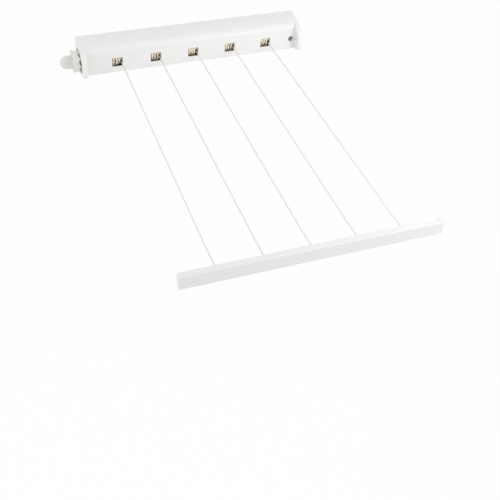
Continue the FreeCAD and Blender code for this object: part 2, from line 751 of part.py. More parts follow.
def make_line_winding(number):
    """The line that stays on the spool. Its last layer stops where the line leads off."""
    body = drum_body("line_winding_%d" % number, line_x(number))
    left, right = spool_ends(number)
    start = "(%s + flange_gauge + 2 * running_gap)" % left
    stop = "(%s - flange_gauge - 2 * running_gap)" % right
    lead = "(lead_offset - line_radius - 2 * running_gap)"
    under = new_sketch(body, "winding_%d_under" % number, "YZ_Plane", start)
    draw_circle(under, "0", "0", "lead_radius - line_radius - running_gap")
    extrude(body, "Pad", under, "%s - %s" % (stop, start))
    outer = new_sketch(body, "winding_%d_outer" % number, "YZ_Plane", start)
    draw_circle(outer, "0", "0", "lead_radius + line_radius")
    extrude(body, "Pad", outer, "%s - %s" % (lead, start))
    bore = new_sketch(body, "winding_%d_bore" % number, "YZ_Plane")
    draw_loop(bore, hexagon("(core_flats + 2 * running_gap)"))
    cut_through(body, bore)


# ---- lines and pull bar ----


def make_line_cord(number):
    """The taut line from its lead-off under the spool to the knot behind the bar's rear wall."""
    start = Vector(value("%s + lead_offset" % line_x(number)), value(AXIS_Y), value(LEAD_Z))
    end = Vector(value(line_x(number)), value("%s - bar_wall - running_gap" % BAR_REAR), value(LEAD_Z))
    cord = doc.addObject("Part::Cylinder", "line_cord_%d" % number)
    cord.Label = "line_cord_%d" % number
    cord.setExpression("Radius", link("line_radius"))
    cord.Height = (end - start).Length
    cord.Placement = Placement(start, Rotation(Vector(0, 0, 1), end - start))


def make_line_knots():
    """The knots, each a short barrel against the inside of the bar's rear wall."""
    knots = []
    for number in range(1, LINES + 1):
        knot = doc.addObject("Part::Cylinder", "knot_%d" % number)
        knot.setExpression("Radius", link("knot_radius"))
        knot.setExpression("Height", link("2 * knot_radius"))
        knot.Placement.Rotation = Rotation(Vector(1, 0, 0), 90)
        knot.setExpression(".Placement.Base.x", link(line_x(number)))
        knot.setExpression(".Placement.Base.y", link("%s - bar_wall - 2 * running_gap" % BAR_REAR))
        knot.setExpression(".Placement.Base.z", link(LEAD_Z))
        knots.append(knot)
    group = doc.addObject("Part::Compound", "line_knots")
    group.Links = knots
    group.Label = "line_knots"


BAR_LOW = "(%s - bar_height / 2)" % LEAD_Z
BAR_HIGH = "(%s + bar_height / 2)" % LEAD_Z
BAR_FRONT = "(%s - bar_depth)" % BAR_REAR


def make_pull_bar():
    """A thin-walled bar, slotted along its underside so that the lines can be knotted inside."""
    body = new_body("pull_bar")
    section = new_sketch(body, "bar_section", "YZ_Plane", "%s + bar_cap_gauge" % BAR_LEFT)
    draw_loop(section, rounded_box(BAR_FRONT, BAR_LOW, BAR_REAR, BAR_HIGH, "bar_corner"))
    draw_loop(section, rounded_box(
        "(%s + bar_wall)" % BAR_FRONT, "(%s + bar_wall)" % BAR_LOW,
        "(%s - bar_wall)" % BAR_REAR, "(%s - bar_wall)" % BAR_HIGH, "(bar_corner - bar_wall + 0.4)"))
    length = "%s - %s - 2 * bar_cap_gauge" % (BAR_RIGHT, BAR_LEFT)
    extrude(body, "Pad", section, length)
    slot = new_sketch(body, "bar_slot_cut", "YZ_Plane", "%s + bar_cap_gauge" % BAR_LEFT)
    middle = "(%s - bar_depth / 2)" % BAR_REAR
    draw_loop(slot, box_corners(
        "(%s - bar_slot / 2)" % middle, "(%s - 1)" % BAR_LOW,
        "(%s + bar_slot / 2)" % middle, "(%s + bar_wall + 0.1)" % BAR_LOW))
    extrude(body, "Pocket", slot, length, reverse=True)
    hole = new_sketch(body, "bar_line_hole", "XZ_Plane", "body_depth + line_reach - 1")
    draw_circle(hole, line_x(1), LEAD_Z, "line_radius + 2 * fit_gap")
    cut = extrude(body, "Pocket", hole, "bar_wall + 2", reverse=True)
    repeat_along(body, cut, "X_Axis", "line_pitch * %d" % (LINES - 1), LINES)


def make_bar_end_cap(side):
    """A flat end plate with a short plug inside the bar."""
    body = new_body("bar_end_cap_%s" % side)
    left = side == "left"
    outer = BAR_LEFT if left else "(%s - bar_cap_gauge)" % BAR_RIGHT
    plate = new_sketch(body, "bar_cap_plate_" + side, "YZ_Plane", outer)
    draw_loop(plate, rounded_box(BAR_FRONT, BAR_LOW, BAR_REAR, BAR_HIGH, "bar_corner"))
    pad = extrude(body, "Pad", plate, "bar_cap_gauge")
    soften_face(body, "Chamfer", pad, value(BAR_LEFT if left else BAR_RIGHT), "bar_cap_edge")
    inner = "(%s + bar_cap_gauge)" % BAR_LEFT if left else "(%s - bar_cap_gauge)" % BAR_RIGHT
    plug = new_sketch(body, "bar_cap_plug_" + side, "YZ_Plane", inner)
    inset = "(bar_wall + fit_gap)"
    draw_loop(plug, rounded_box(
        "(%s + %s)" % (BAR_FRONT, inset), "(%s + %s)" % (BAR_LOW, inset),
        "(%s - %s)" % (BAR_REAR, inset), "(%s - %s)" % (BAR_HIGH, inset), "(bar_corner - bar_wall + 0.4)"))
    extrude(body, "Pad", plug, "bar_depth / 2", reverse=not left)


# ---- ratchet ring and winding knob ----

# Every gap between face teeth has a steep flank, which lies along the radius, and a ramp. It is
# cut in two: a sector turned about the axis, and beside it a channel with the ramp on one side.


def cut_teeth(body, name, tips, roots, inner, outer, channel, start, angle, reverse):
    """Cuts the gaps between face teeth from the tips down to the roots. The channel's section
    is a list of corners (along the axis, across it). The sector starts at an angle from the
    body's Z axis and goes on towards -Y, or with reverse towards +Y."""
    clear = "(%s %s 1)" % (tips, "-" if value(tips) < value(roots) else "+")
    sector = new_sketch(body, name + "_sector", "XZ_Plane")
    sector.AttachmentOffset = Placement(Vector(0, 0, 0), Rotation(Vector(1, 0, 0), start))
    draw_loop(sector, box_corners(roots, inner, clear, outer))
    groove = turn(body, "Groove", sector, angle=angle)
    groove.Reversed = reverse
    ramp = new_sketch(body, name + "_ramp", "XY_Plane", inner)
    draw_loop(ramp, [(clear if along == "clear" else along, across) for along, across in channel])
    pocket = extrude(body, "Pocket", ramp, "%s - %s" % (outer, inner), reverse=True)
    repeat_round(body, [groove, pocket], "tooth_count")


def make_ratchet_ring():
    """The fixed ring, keyed into the floor of the left cap's dish."""
    body = drum_body("ratchet_ring")
    turned(body, "ring_profile", [
        (RING_TIPS, "ring_inner"),
        (DISH_FLOOR, "ring_inner"),
        (DISH_FLOOR, RING_OUTER),
        (RING_TIPS, RING_OUTER),
    ])
    cut_teeth(
        body, "ring_gap", RING_TIPS, RING_ROOTS, "(ring_inner * 0.9)", "(%s * 1.05)" % RING_OUTER,
        [(RING_ROOTS, "0"), (RING_TIPS, "tooth_run"), ("clear", "tooth_run"),
         ("clear", "-tooth_run / 2"), (RING_ROOTS, "-tooth_run / 2")],
        0, "tooth_gap_angle", False)
    keys = new_sketch(body, "ring_keys", "YZ_Plane", DISH_FLOOR)
    for y in KEY_PLACES:
        draw_loop(keys, key_corners(y, "0", "(key_width / 2)"))
    extrude(body, "Pad", keys, "key_reach")


FLANGE_BACK = "(%s - knob_standoff)" % LEFT_FACE
FLANGE_FRONT = "(%s - knob_standoff - knob_flange_gauge)" % LEFT_FACE
WING_TIP = "(%s - wing_reach)" % LEFT_FACE
BOSS_FRONT = "(%s - boss_height)" % FLANGE_FRONT
SECTOR_START = 13  # degrees from the foot of a tooth's ramp, where its channel is still open


def make_winding_knob():
    """A moulded knob: a hub with face teeth, a thin round flange and a flat wing to turn it by."""
    body = drum_body("winding_knob")
    turned(body, "knob_profile", [
        (BOSS_FRONT, "0"),
        (HUB_ROOTS, "0"),
        (HUB_ROOTS, "hub_inner"),
        (HUB_TIPS, "hub_inner"),
        (HUB_TIPS, HUB_RADIUS),
        (FLANGE_BACK, HUB_RADIUS),
        (FLANGE_BACK, "%s + knob_flange_lip" % HUB_RADIUS),
        (FLANGE_FRONT, "%s + knob_flange_lip" % HUB_RADIUS),
        (FLANGE_FRONT, "boss_radius"),
        (BOSS_FRONT, "boss_radius - 1"),
    ])
    wing = new_sketch(body, "knob_wing", "XZ_Plane", "-wing_gauge / 2")
    bend = "(%s + wing_half)" % WING_TIP
    root = "(%s + knob_flange_gauge / 2)" % FLANGE_FRONT
    draw_loop(wing, [
        (root, "wing_half"),
        (bend, "wing_half"),
        (WING_TIP, "0", "wing_half", "left"),
        (bend, "-wing_half", "wing_half", "left"),
        (root, "-wing_half"),
    ])
    extrude(body, "Pad", wing, "wing_gauge")
    cut_teeth(
        body, "hub_gap", HUB_TIPS, HUB_ROOTS, "(hub_inner * 0.75)", "(%s * 1.05)" % HUB_RADIUS,
        [(HUB_TIPS, "-flank_gap"), (HUB_ROOTS, "tooth_run - flank_gap"), (HUB_ROOTS, "tooth_run * 1.6"),
         ("clear", "tooth_run * 1.6"), ("clear", "-flank_gap")],
        -SECTOR_START, "360 / tooth_count - tooth_gap_angle + flank_gap_angle - %d" % SECTOR_START, True)
    socket = new_sketch(body, "knob_socket", "YZ_Plane", HUB_ROOTS)
    draw_circle(socket, "0", "0", "stub_radius + 2 * running_gap")
    extrude(body, "Pocket", socket, "%s - %s + %s + tooth_clearance" % (HUB_ROOTS, STUB_END, KNOB_TRAVEL))
    pin = new_sketch(body, "knob_pin_hole", "XY_Plane")
    draw_circle(pin, PIN_X, "0", "pin_radius + running_gap / 2")
    cut_through(body, pin)


def make_knob_pin():
    body = drum_body("knob_pin")
    section = new_sketch(body, "pin_section", "XY_Plane", "-%s + 1" % HUB_RADIUS)
    draw_circle(section, PIN_X, "0", "pin_radius")
    extrude(body, "Pad", section, "2 * (%s - 1)" % HUB_RADIUS)


make_body_shell()
make_wall_bracket()
make_left_end_cap()
make_right_end_cap()
make_bearing_plate()
make_cap_screws()
make_locking_screw()
make_left_bush()
make_right_bush()
make_drum_shaft()
make_left_drum_plug()
make_right_drum_plug()
for line in range(1, LINES + 1):
    make_line_spool(line)
    make_line_winding(line)
    make_line_cord(line)
make_line_knots()
make_pull_bar()
make_bar_end_cap("left")
make_bar_end_cap("right")
make_ratchet_ring()
make_winding_knob()
make_knob_pin()
doc.recompute()

NODES = [
    "body_shell", "wall_bracket", "left_end_cap", "right_end_cap", "right_bearing_plate", "cap_screws",
    "locking_screw", "left_bush", "right_bush", "drum_shaft", "left_drum_plug", "right_drum_plug",
    "line_knots", "pull_bar", "bar_end_cap_left", "bar_end_cap_right", "ratchet_ring", "winding_knob",
    "knob_pin",
]
for stem in ("line_spool", "line_winding", "line_cord"):
    NODES += ["%s_%d" % (stem, line) for line in range(1, LINES + 1)]

for item in doc.Objects:
    if "Invalid" in item.State or "Error" in item.State:
        raise RuntimeError("%s failed: %s" % (item.Name, item.State))
os.makedirs("parts", exist_ok=True)
for node in NODES:
    shape = doc.getObjectsByLabel(node)[0].Shape
    if shape.isNull() or not shape.isValid() or not shape.Solids:
        raise RuntimeError("%s has no valid solid" % node)
    shape.exportStep("parts/%s.step" % node)
    print("%s: %d solid(s), %.0f mm3" % (node, len(shape.Solids), shape.Volume))
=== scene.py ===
import math
import bpy
from mathutils import Matrix, Vector


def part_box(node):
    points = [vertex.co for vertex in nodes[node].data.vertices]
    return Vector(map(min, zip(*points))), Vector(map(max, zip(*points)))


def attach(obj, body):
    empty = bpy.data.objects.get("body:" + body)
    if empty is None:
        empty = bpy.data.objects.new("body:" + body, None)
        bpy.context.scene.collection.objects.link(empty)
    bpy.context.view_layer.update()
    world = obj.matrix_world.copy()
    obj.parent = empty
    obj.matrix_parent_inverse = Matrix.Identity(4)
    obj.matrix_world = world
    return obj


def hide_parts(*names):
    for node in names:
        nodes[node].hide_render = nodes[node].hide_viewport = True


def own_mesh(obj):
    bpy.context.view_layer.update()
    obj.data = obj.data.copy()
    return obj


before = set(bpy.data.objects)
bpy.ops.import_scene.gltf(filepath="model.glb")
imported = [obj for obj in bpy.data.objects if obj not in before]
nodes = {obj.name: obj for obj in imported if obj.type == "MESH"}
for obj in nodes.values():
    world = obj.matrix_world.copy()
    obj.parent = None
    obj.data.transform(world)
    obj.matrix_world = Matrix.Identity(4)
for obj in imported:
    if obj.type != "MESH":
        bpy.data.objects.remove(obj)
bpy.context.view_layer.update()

MM = 0.001

# ---- Camera ----
# It looks down on the dryer from its left front, with the housing far off and the bar near, and
# is turned a little about its own line of sight.

CAMERA_PLACE = (-0.4146, -1.3486, 0.7545)
CAMERA_LENS = 60.34
CAMERA_ANGLES = (-23.0, 42.17, 4.17)  # azimuth, elevation and roll, in degrees

azimuth, elevation, roll = (math.radians(angle) for angle in CAMERA_ANGLES)
level = math.cos(elevation)
back = Vector((math.sin(azimuth) * level, -math.cos(azimuth) * level, math.sin(elevation)))
level_right = (-back).cross(Vector((0, 0, 1))).normalized()
level_up = level_right.cross(-back)
right = level_right * math.cos(roll) + level_up * math.sin(roll)
up = level_up * math.cos(roll) - level_right * math.sin(roll)
camera = bpy.data.objects.new("camera", bpy.data.cameras.new("camera"))
bpy.context.scene.collection.objects.link(camera)
camera.data.sensor_width = 36
camera.data.lens = CAMERA_LENS
turned = Matrix((right, up, back)).transposed().to_4x4()
camera.matrix_world = Matrix.Translation(CAMERA_PLACE) @ turned
bpy.context.scene.camera = camera

# ---- Taut lines ----
# Five lines with a smooth plastic skin over a laid core. Each runs straight from its spool, out
# through its window, to a knot inside the pull bar. They shorten as the bar is wound in.

LINE_SIDES = 14
LINE_RINGS = 120
LINE_LAY = 7 * MM
SQUARE_SHARE = 0.1  # the share of a line, at the bar, that runs square to it through its hole


def shader(name, roughness=0.5, **sockets):
    """A new material with its tree and its main shader."""
    material = bpy.data.materials.new(name)
    material.use_nodes = True
    tree = material.node_tree
    principled = tree.nodes["Principled BSDF"]
    principled.inputs["Roughness"].default_value = roughness
    for socket, number in sockets.items():
        principled.inputs[socket.replace("_", " ")].default_value = number
    return material, tree, principled


def give(tree, kind, **settings):
    """Adds a node and sets its properties, or its inputs by name."""
    node = tree.nodes.new(kind)
    for name, setting in settings.items():
        if hasattr(node, name):
            setattr(node, name, setting)
        else:
            node.inputs[name.replace("_", " ")].default_value = setting
    return node


def give_ramp(tree, *stops):
    """Adds a colour ramp with two stops, each a place and a colour."""
    ramp = give(tree, "ShaderNodeValToRGB")
    for element, (place, colour) in zip(ramp.color_ramp.elements, stops):
        element.position = place
        element.color = (*colour, 1)
    return ramp


def cover(obj, material):
    """Gives the object this one material."""
    obj.data.materials.clear()
    obj.data.materials.append(material)


def line_skin_material():
    """Smooth off-white plastic through which the laid core shows as faint slanting bands."""
    material, tree, principled = shader("line_skin", roughness=0.42)
    uv = give(tree, "ShaderNodeUVMap", uv_map="lay")
    wave = give(tree, "ShaderNodeTexWave", wave_type="BANDS", bands_direction="DIAGONAL",
                Scale=6.0, Distortion=1.2)
    tint = give_ramp(tree, (0, (0.71, 0.71, 0.70)), (1, (0.82, 0.82, 0.815)))
    bump = give(tree, "ShaderNodeBump", Strength=0.35, Distance=0.0002)
    tree.links.new(uv.outputs["UV"], wave.inputs["Vector"])
    tree.links.new(wave.outputs["Fac"], tint.inputs["Fac"])
    tree.links.new(tint.outputs["Color"], principled.inputs["Base Color"])
    tree.links.new(wave.outputs["Fac"], bump.inputs["Height"])
    tree.links.new(bump.outputs["Normal"], principled.inputs["Normal"])
    return material


def straight_line(name, start, end, radius):
    """A round tube with closed ends and a UV map that counts the turns of its laid core. It
    crosses to the bar's hole on its way and ends square to the bar."""
    along = end - start
    frame_of_line = along.to_track_quat("Z", "Y").to_matrix()
    points, faces, lays = [], [], []
    for ring in range(LINE_RINGS + 1):
        share = ring / LINE_RINGS
        centre = start + along * share
        centre.x = start.x + along.x * min(share / (1 - SQUARE_SHARE), 1)
        for side in range(LINE_SIDES):
            turn = 2 * math.pi * side / LINE_SIDES
            rim = frame_of_line @ Vector((math.cos(turn), math.sin(turn), 0)) * radius
            points.append(centre + rim)
    for ring in range(LINE_RINGS):
        low, high = (step / LINE_RINGS * along.length / LINE_LAY for step in (ring, ring + 1))
        here, there = ring * LINE_SIDES, (ring + 1) * LINE_SIDES
        for side in range(LINE_SIDES):
            nearby = (side + 1) % LINE_SIDES
            faces.append((here + side, here + nearby, there + nearby, there + side))
            near, far = side / LINE_SIDES, (side + 1) / LINE_SIDES
            lays += [(near, low), (far, low), (far, high), (near, high)]
    faces.append(tuple(reversed(range(LINE_SIDES))))
    faces.append(tuple(range(LINE_RINGS * LINE_SIDES, (LINE_RINGS + 1) * LINE_SIDES)))
    lays += [(0, 0)] * (2 * LINE_SIDES)
    mesh = bpy.data.meshes.new(name)
    mesh.from_pydata(points, [], faces)
    layer = mesh.uv_layers.new(name="lay")
    for loop, place in enumerate(lays):
        layer.data[loop].uv = place
    mesh.polygons.foreach_set("use_smooth", [len(face) == 4 for face in faces])
    piece = bpy.data.objects.new(name, mesh)
    bpy.context.scene.collection.objects.link(piece)
    return piece


line_skin = line_skin_material()
for number in range(1, 6):
    low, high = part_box(f"line_cord_{number}")
    radius = (high.z - low.z) / 2
    start = Vector((high.x - radius, high.y, low.z + radius))
    end = Vector((low.x + radius, low.y, low.z + radius))
    taut = straight_line(f"taut_line_{number}", start, end, radius)
    cover(taut, line_skin)
    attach(taut, "housing")
    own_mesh(taut)
    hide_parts(f"line_cord_{number}")

# ---- Wound line on the spools ----
# What stays on each spool: a close first layer that turns with the drum, and over it slack turns
# of the same line. These hang below the drum and lean across each other. They lie on both sides
# of the line that leads off to its window, and leave it free.

WOUND_RADIUS = 1.1 * MM
UNDER_LAYER = 6.5 * MM  # the radius of the first layer about the drum's axis
OUTER_LAYER = 8.75 * MM  # and that of the slack turns
LEAD_LEFT = 6.9 * MM  # the slack turns stop this far to the right of the spool's middle
LEAD_RIGHT = 9.3 * MM  # and go on from here, past the line that leads off
# Painted shade: the wound line darkens to brown from the first of these depths below the drum's axis to
# the second, where its hanging turns lie in shade.
PAINTED_SHADE_TOP, PAINTED_SHADE_BOTTOM = 11.5 * MM, 16.5 * MM  # how far below the drum's axis the line turns brown
SEED_STEP = 7.3

# Each layer: how many turns, how far they lean, and how far they hang as a share of their radius.
# The slack turns have a row for each spool.
UNDER_TURNS = (28.5, 0.3 * MM, 0.0)
LOW_TURNS = (7.5, 4.5 * MM, 1.0)
FAR_TURNS = (8.5, 1.8 * MM, 0.75)
FAR_LOW_TURNS = (6.5, 2.7 * MM, 1.0)
SLACK_TURNS = (
    (9.0, 7.2 * MM, 0.75),
    (8.5, 2.4 * MM, 0.8),
    (15.0, 1.8 * MM, 0.7),
    (8.5, 3.0 * MM, 0.8),
    (9.5, 4.8 * MM, 0.75),
)

# The places of a colour Mix node's sockets
MIX_SHARE, MIX_FIRST, MIX_SECOND, MIX_RESULT = 0, 6, 7, 2


def group_inputs(tree, *sockets):
    """Named inputs of a Geometry Nodes tree: (name, kind, default)."""
    for name, kind, default in sockets:
        socket = tree.interface.new_socket(name, in_out="INPUT", socket_type="NodeSocket" + kind)
        if default is not None:
            socket.default_value = default


def laid_turns_tree():
    """Turns of line: a spiral whose turns lean to and fro and sag towards its X, swept by a circle."""
    tree = bpy.data.node_groups.new("laid_turns", "GeometryNodeTree")
    group_inputs(tree, ("Geometry", "Geometry", None), ("Turns", "Float", 10.0),
                 ("Width", "Float", 0.02), ("Radius", "Float", 0.01), ("Line radius", "Float", 0.001),
                 ("Lean", "Float", 0.0005), ("Sag", "Float", 0.0), ("Seed", "Float", 0.0),
                 ("Material", "Material", None))
    tree.interface.new_socket("Geometry", in_out="OUTPUT", socket_type="NodeSocketGeometry")
    given = tree.nodes.new("NodeGroupInput").outputs
    result = tree.nodes.new("NodeGroupOutput")
    link = tree.links.new

    def combine(operation, *inputs):
        node = give(tree, "ShaderNodeMath", operation=operation)
        for socket, what in zip(node.inputs, inputs):
            if isinstance(what, float):
                socket.default_value = what
            else:
                link(what, socket)
        return node.outputs[0]

    spiral = give(tree, "GeometryNodeCurveSpiral", Resolution=36)
    link(given["Turns"], spiral.inputs["Rotations"])
    link(given["Radius"], spiral.inputs["Start Radius"])
    link(given["Radius"], spiral.inputs["End Radius"])
    link(given["Width"], spiral.inputs["Height"])
    place = give(tree, "GeometryNodeInputPosition")
    part = give(tree, "ShaderNodeSeparateXYZ")
    link(place.outputs[0], part.inputs[0])
    progress = give(tree, "GeometryNodeSplineParameter")
    turn = combine("MULTIPLY_ADD", progress.outputs["Factor"], given["Turns"], given["Seed"])

    # each turn leans along the spiral's Z, but never past its ends
    lean_noise = give(tree, "ShaderNodeTexNoise", noise_dimensions="4D", Scale=60.0, Detail=0.0)
    link(place.outputs[0], lean_noise.inputs["Vector"])
    link(turn, lean_noise.inputs["W"])
    lean = combine("MULTIPLY", combine("SUBTRACT", lean_noise.outputs["Fac"], 0.5), given["Lean"])
    past_start = combine("MAXIMUM", combine("ADD", part.outputs["Z"], lean), 0.0)
    leant = combine("MINIMUM", past_start, given["Width"])

    # its half on the X side sags, by an amount that changes along the line
    sag_noise = give(tree, "ShaderNodeTexNoise", noise_dimensions="1D", Scale=1.0, Detail=0.0)
    link(combine("ADD", turn, 40.0), sag_noise.inputs["W"])
    slack = combine("MULTIPLY", combine("ADD", sag_noise.outputs["Fac"], 0.5), given["Sag"])
    sag = combine("MULTIPLY", combine("MAXIMUM", part.outputs["X"], 0.0), slack)

    offset = give(tree, "ShaderNodeCombineXYZ")
    link(combine("SUBTRACT", leant, part.outputs["Z"]), offset.inputs["Z"])
    link(sag, offset.inputs["X"])
    moved = give(tree, "GeometryNodeSetPosition")
    link(spiral.outputs["Curve"], moved.inputs["Geometry"])
    link(offset.outputs[0], moved.inputs["Offset"])
    section = give(tree, "GeometryNodeCurvePrimitiveCircle", mode="RADIUS", Resolution=8)
    link(given["Line radius"], section.inputs["Radius"])
    swept = give(tree, "GeometryNodeCurveToMesh", Fill_Caps=True)
    link(moved.outputs["Geometry"], swept.inputs["Curve"])
    link(section.outputs["Curve"], swept.inputs["Profile Curve"])
    smooth = give(tree, "GeometryNodeSetShadeSmooth")
    link(swept.outputs["Mesh"], smooth.inputs["Geometry"])
    realized = give(tree, "GeometryNodeRealizeInstances")
    link(smooth.outputs["Geometry"], realized.inputs["Geometry"])
    painted = give(tree, "GeometryNodeSetMaterial")
    link(realized.outputs["Geometry"], painted.inputs["Geometry"])
    link(given["Material"], painted.inputs["Material"])
    link(painted.outputs["Geometry"], result.inputs["Geometry"])
    return tree


def grow(name, tree, settings, place):
    """Runs a Geometry Nodes tree once and keeps its result as a plain mesh in its place."""
    seed_mesh = bpy.data.meshes.new(name + "_seed")
    carrier = bpy.data.objects.new(name + "_carrier", seed_mesh)
    bpy.context.scene.collection.objects.link(carrier)
    modifier = carrier.modifiers.new("grow", "NODES")
    modifier.node_group = tree
    for item in tree.interface.items_tree:
        if item.item_type == "SOCKET" and item.in_out == "INPUT" and item.name in settings:
            modifier[item.identifier] = settings[item.name]
    evaluated = carrier.evaluated_get(bpy.context.evaluated_depsgraph_get())
    mesh = bpy.data.meshes.new_from_object(evaluated)
    bpy.data.objects.remove(carrier)
    mesh.name = name
    mesh.transform(place)
    return mesh


def wound_line_material(shade_top, shade_bottom):
    """Line dirtied in use, in cream and tan patches. Painted shade darkens it to brown from one height
    down to another, where the turns below the drum lie in shade.
    """
    material, tree, principled = shader("wound_line", roughness=0.5)
    place = give(tree, "ShaderNodeTexCoord")
    patches = give(tree, "ShaderNodeTexNoise", Scale=90.0, Detail=2.0)
    tint = give_ramp(tree, (0.3, (0.80, 0.67, 0.50)), (0.7, (0.93, 0.89, 0.81)))
    height = give(tree, "ShaderNodeSeparateXYZ")
    # Painted shade: the line is multiplied towards brown lower down, where the turns under the drum lie
    # in shade.
    shade_share = give(tree, "ShaderNodeMapRange", interpolation_type="SMOOTHSTEP",
                   From_Min=shade_bottom, From_Max=shade_top, To_Min=1.0, To_Max=0.0)
    painted_shade = give(tree, "ShaderNodeMix", data_type="RGBA", blend_type="MULTIPLY")
    painted_shade.inputs[MIX_SECOND].default_value = (0.84, 0.58, 0.32, 1)
    tree.links.new(place.outputs["Object"], patches.inputs["Vector"])
    tree.links.new(place.outputs["Object"], height.inputs[0])
    tree.links.new(height.outputs["Z"], shade_share.inputs["Value"])
    tree.links.new(shade_share.outputs[0], painted_shade.inputs[MIX_SHARE])
    tree.links.new(patches.outputs["Fac"], tint.inputs["Fac"])
    tree.links.new(tint.outputs["Color"], painted_shade.inputs[MIX_FIRST])
    tree.links.new(painted_shade.outputs[MIX_RESULT], principled.inputs["Base Color"])
    return material


turns_tree = laid_turns_tree()
shaft_low, shaft_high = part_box("drum_shaft")
drum_axis = (shaft_low + shaft_high) / 2
wound_line = wound_line_material(drum_axis.z - PAINTED_SHADE_TOP, drum_axis.z - PAINTED_SHADE_BOTTOM)


def turns_of_line(name, body, first, last, radius, layer, seed):
    """A layer of turns about the drum's axis, from one place along X to another, on a body."""
    turns, lean, sag = layer
    start = Matrix.Translation((first + WOUND_RADIUS, drum_axis.y, drum_axis.z))
    along_x = Matrix.Rotation(math.radians(90), 4, "Y")
    mesh = grow(name, turns_tree, {
        "Turns": turns, "Width": last - first - 2 * WOUND_RADIUS, "Radius": radius,
        "Line radius": WOUND_RADIUS, "Lean": lean, "Sag": sag, "Seed": seed + sag,
        "Material": wound_line}, start @ along_x)
    piece = bpy.data.objects.new(name, mesh)
    bpy.context.scene.collection.objects.link(piece)
    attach(piece, body)
    return piece


for number, slack in enumerate(SLACK_TURNS, start=1):
    low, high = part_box(f"line_winding_{number}")
    middle = (low.x + high.x) / 2
    left, right = middle + LEAD_LEFT, middle + LEAD_RIGHT
    seed = SEED_STEP * number
    under = turns_of_line(f"wound_line_{number}", "drum", low.x, high.x, UNDER_LAYER, UNDER_TURNS, seed)
    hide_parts(f"line_winding_{number}")
    turns_of_line(f"slack_turns_{number}", "housing", low.x, left, OUTER_LAYER, slack, seed)
    turns_of_line(f"low_turns_{number}", "housing", low.x, left, OUTER_LAYER, LOW_TURNS, seed)
    turns_of_line(f"far_turns_{number}", "housing", right, high.x, OUTER_LAYER, FAR_TURNS, seed)
    turns_of_line(f"far_low_turns_{number}", "housing", right, high.x, OUTER_LAYER, FAR_LOW_TURNS, seed)

# ---- Housing ----
# One long off-white moulding with a crowned top and a flat front that holds the five windows. Its
# surface has a fine spark-eroded grain.

GRAIN_DEPTH = 0.03 * MM
GRAIN_ROUGHENS = 0.12  # how much rougher the grain's peaks are than its pits
UNEVENNESS = 0.05  # the range of the colour's brightness, in clouds about 10 cm across


def moulded_group():
    """Grain and faint unevenness of moulded plastic: a colour, a roughness and a bump height."""
    tree = bpy.data.node_groups.new("moulded_surface", "ShaderNodeTree")
    interface = tree.interface
    for name, kind, default in (("Colour", "Color", (0.8, 0.8, 0.78, 1)), ("Shade", "Float", UNEVENNESS),
                                ("Grain scale", "Float", 1800.0), ("Roughness", "Float", 0.4)):
        socket = interface.new_socket(name, in_out="INPUT", socket_type="NodeSocket" + kind)
        socket.default_value = default
    for name, kind in (("Colour", "Color"), ("Roughness", "Float"), ("Height", "Float")):
        interface.new_socket(name, in_out="OUTPUT", socket_type="NodeSocket" + kind)
    given = tree.nodes.new("NodeGroupInput").outputs
    result = tree.nodes.new("NodeGroupOutput")
    link = tree.links.new
    place = give(tree, "ShaderNodeTexCoord")
    clouds = give(tree, "ShaderNodeTexNoise", Scale=9.0, Detail=3.0)
    link(place.outputs["Object"], clouds.inputs["Vector"])
    grain = give(tree, "ShaderNodeTexNoise", Detail=2.0)
    link(place.outputs["Object"], grain.inputs["Vector"])
    link(given["Grain scale"], grain.inputs["Scale"])
    centred = give(tree, "ShaderNodeMath", operation="SUBTRACT")
    centred.inputs[1].default_value = 0.5
    link(clouds.outputs["Fac"], centred.inputs[0])
    shade = give(tree, "ShaderNodeMath", operation="MULTIPLY_ADD")
    shade.inputs[2].default_value = 1.0
    link(centred.outputs[0], shade.inputs[0])
    link(given["Shade"], shade.inputs[1])
    tinted = give(tree, "ShaderNodeVectorMath", operation="SCALE")
    link(given["Colour"], tinted.inputs[0])
    link(shade.outputs[0], tinted.inputs["Scale"])
    link(tinted.outputs[0], result.inputs["Colour"])
    rough = give(tree, "ShaderNodeMath", operation="MULTIPLY_ADD")
    rough.inputs[1].default_value = GRAIN_ROUGHENS
    link(grain.outputs["Fac"], rough.inputs[0])
    link(given["Roughness"], rough.inputs[2])
    link(rough.outputs[0], result.inputs["Roughness"])
    link(grain.outputs["Fac"], result.inputs["Height"])
    return tree


moulded_surface = moulded_group()


